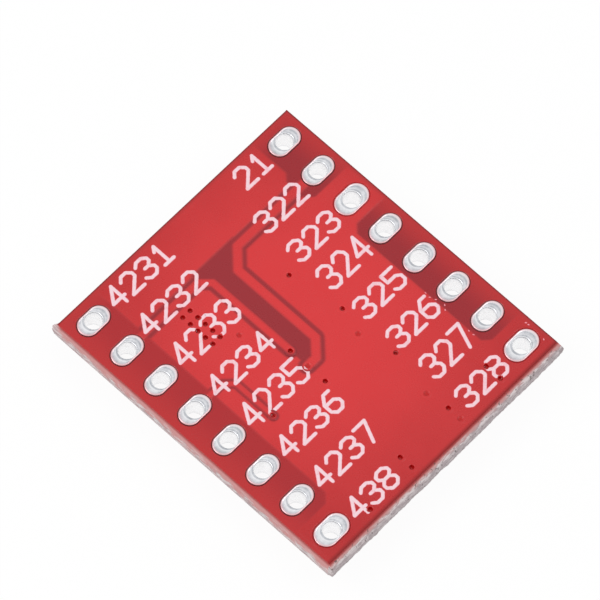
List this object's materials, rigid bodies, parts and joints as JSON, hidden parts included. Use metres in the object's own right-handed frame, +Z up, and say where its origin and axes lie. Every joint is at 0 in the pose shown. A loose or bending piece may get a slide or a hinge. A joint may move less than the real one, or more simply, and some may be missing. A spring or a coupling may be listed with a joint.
{
  "type": "dc motor driver module",
  "caption": "Small red circuit board with two rows of plated header holes and a surface-mount motor driver chip with chip capacitors beneath.",
  "frame": {"origin": "centre of the board's outline in X and Y, on the plane of the driver chip's flat top, which the module rests on", "axes": "+Z up, out of the solder side; +X along the header rows, towards the end where both rows end in a ground pin; +Y from the control row to the power and motor row"},
  "size_m": [0.0208, 0.0184, 0.003],
  "materials": {
    "solder_mask": "satin red solder mask film",
    "glass_epoxy": "pale snapped glass-epoxy edge",
    "pad_tin": "smooth tinned copper",
    "moulded_epoxy": "fine matt moulded epoxy",
    "lead_tin": "matt tin plate",
    "capacitor_ceramic": "fired ceramic"
  },
  "bodies": {
    "root": {"laminate": "glass_epoxy", "solder_side_mask": "solder_mask", "component_side_mask": "solder_mask", "plated_pad_a1": "pad_tin", "plated_pad_a2": "pad_tin", "plated_pad_a3": "pad_tin", "plated_pad_a4": "pad_tin", "plated_pad_a5": "pad_tin", "plated_pad_a6": "pad_tin", "plated_pad_a7": "pad_tin", "plated_pad_a8": "pad_tin", "plated_pad_b1": "pad_tin", "plated_pad_b2": "pad_tin", "plated_pad_b3": "pad_tin", "plated_pad_b4": "pad_tin", "plated_pad_b5": "pad_tin", "plated_pad_b6": "pad_tin", "plated_pad_b7": "pad_tin", "plated_pad_b8": "pad_tin", "driver_package": "moulded_epoxy", "driver_lead_01": "lead_tin", "driver_lead_02": "lead_tin", "driver_lead_03": "lead_tin", "driver_lead_04": "lead_tin", "driver_lead_05": "lead_tin", "driver_lead_06": "lead_tin", "driver_lead_07": "lead_tin", "driver_lead_08": "lead_tin", "driver_lead_09": "lead_tin", "driver_lead_10": "lead_tin", "driver_lead_11": "lead_tin", "driver_lead_12": "lead_tin", "driver_lead_13": "lead_tin", "driver_lead_14": "lead_tin", "driver_lead_15": "lead_tin", "driver_lead_16": "lead_tin", "driver_lead_17": "lead_tin", "driver_lead_18": "lead_tin", "driver_lead_19": "lead_tin", "driver_lead_20": "lead_tin", "driver_lead_21": "lead_tin", "driver_lead_22": "lead_tin", "driver_lead_23": "lead_tin", "driver_lead_24": "lead_tin", "bulk_capacitor_1_body": "capacitor_ceramic", "bulk_capacitor_1_end_1": "lead_tin", "bulk_capacitor_1_end_2": "lead_tin", "bulk_capacitor_2_body": "capacitor_ceramic", "bulk_capacitor_2_end_1": "lead_tin", "bulk_capacitor_2_end_2": "lead_tin", "bypass_capacitor_1_body": "capacitor_ceramic", "bypass_capacitor_1_end_1": "lead_tin", "bypass_capacitor_1_end_2": "lead_tin", "bypass_capacitor_2_body": "capacitor_ceramic", "bypass_capacitor_2_end_1": "lead_tin", "bypass_capacitor_2_end_2": "lead_tin"}
  },
  "joints": []
}
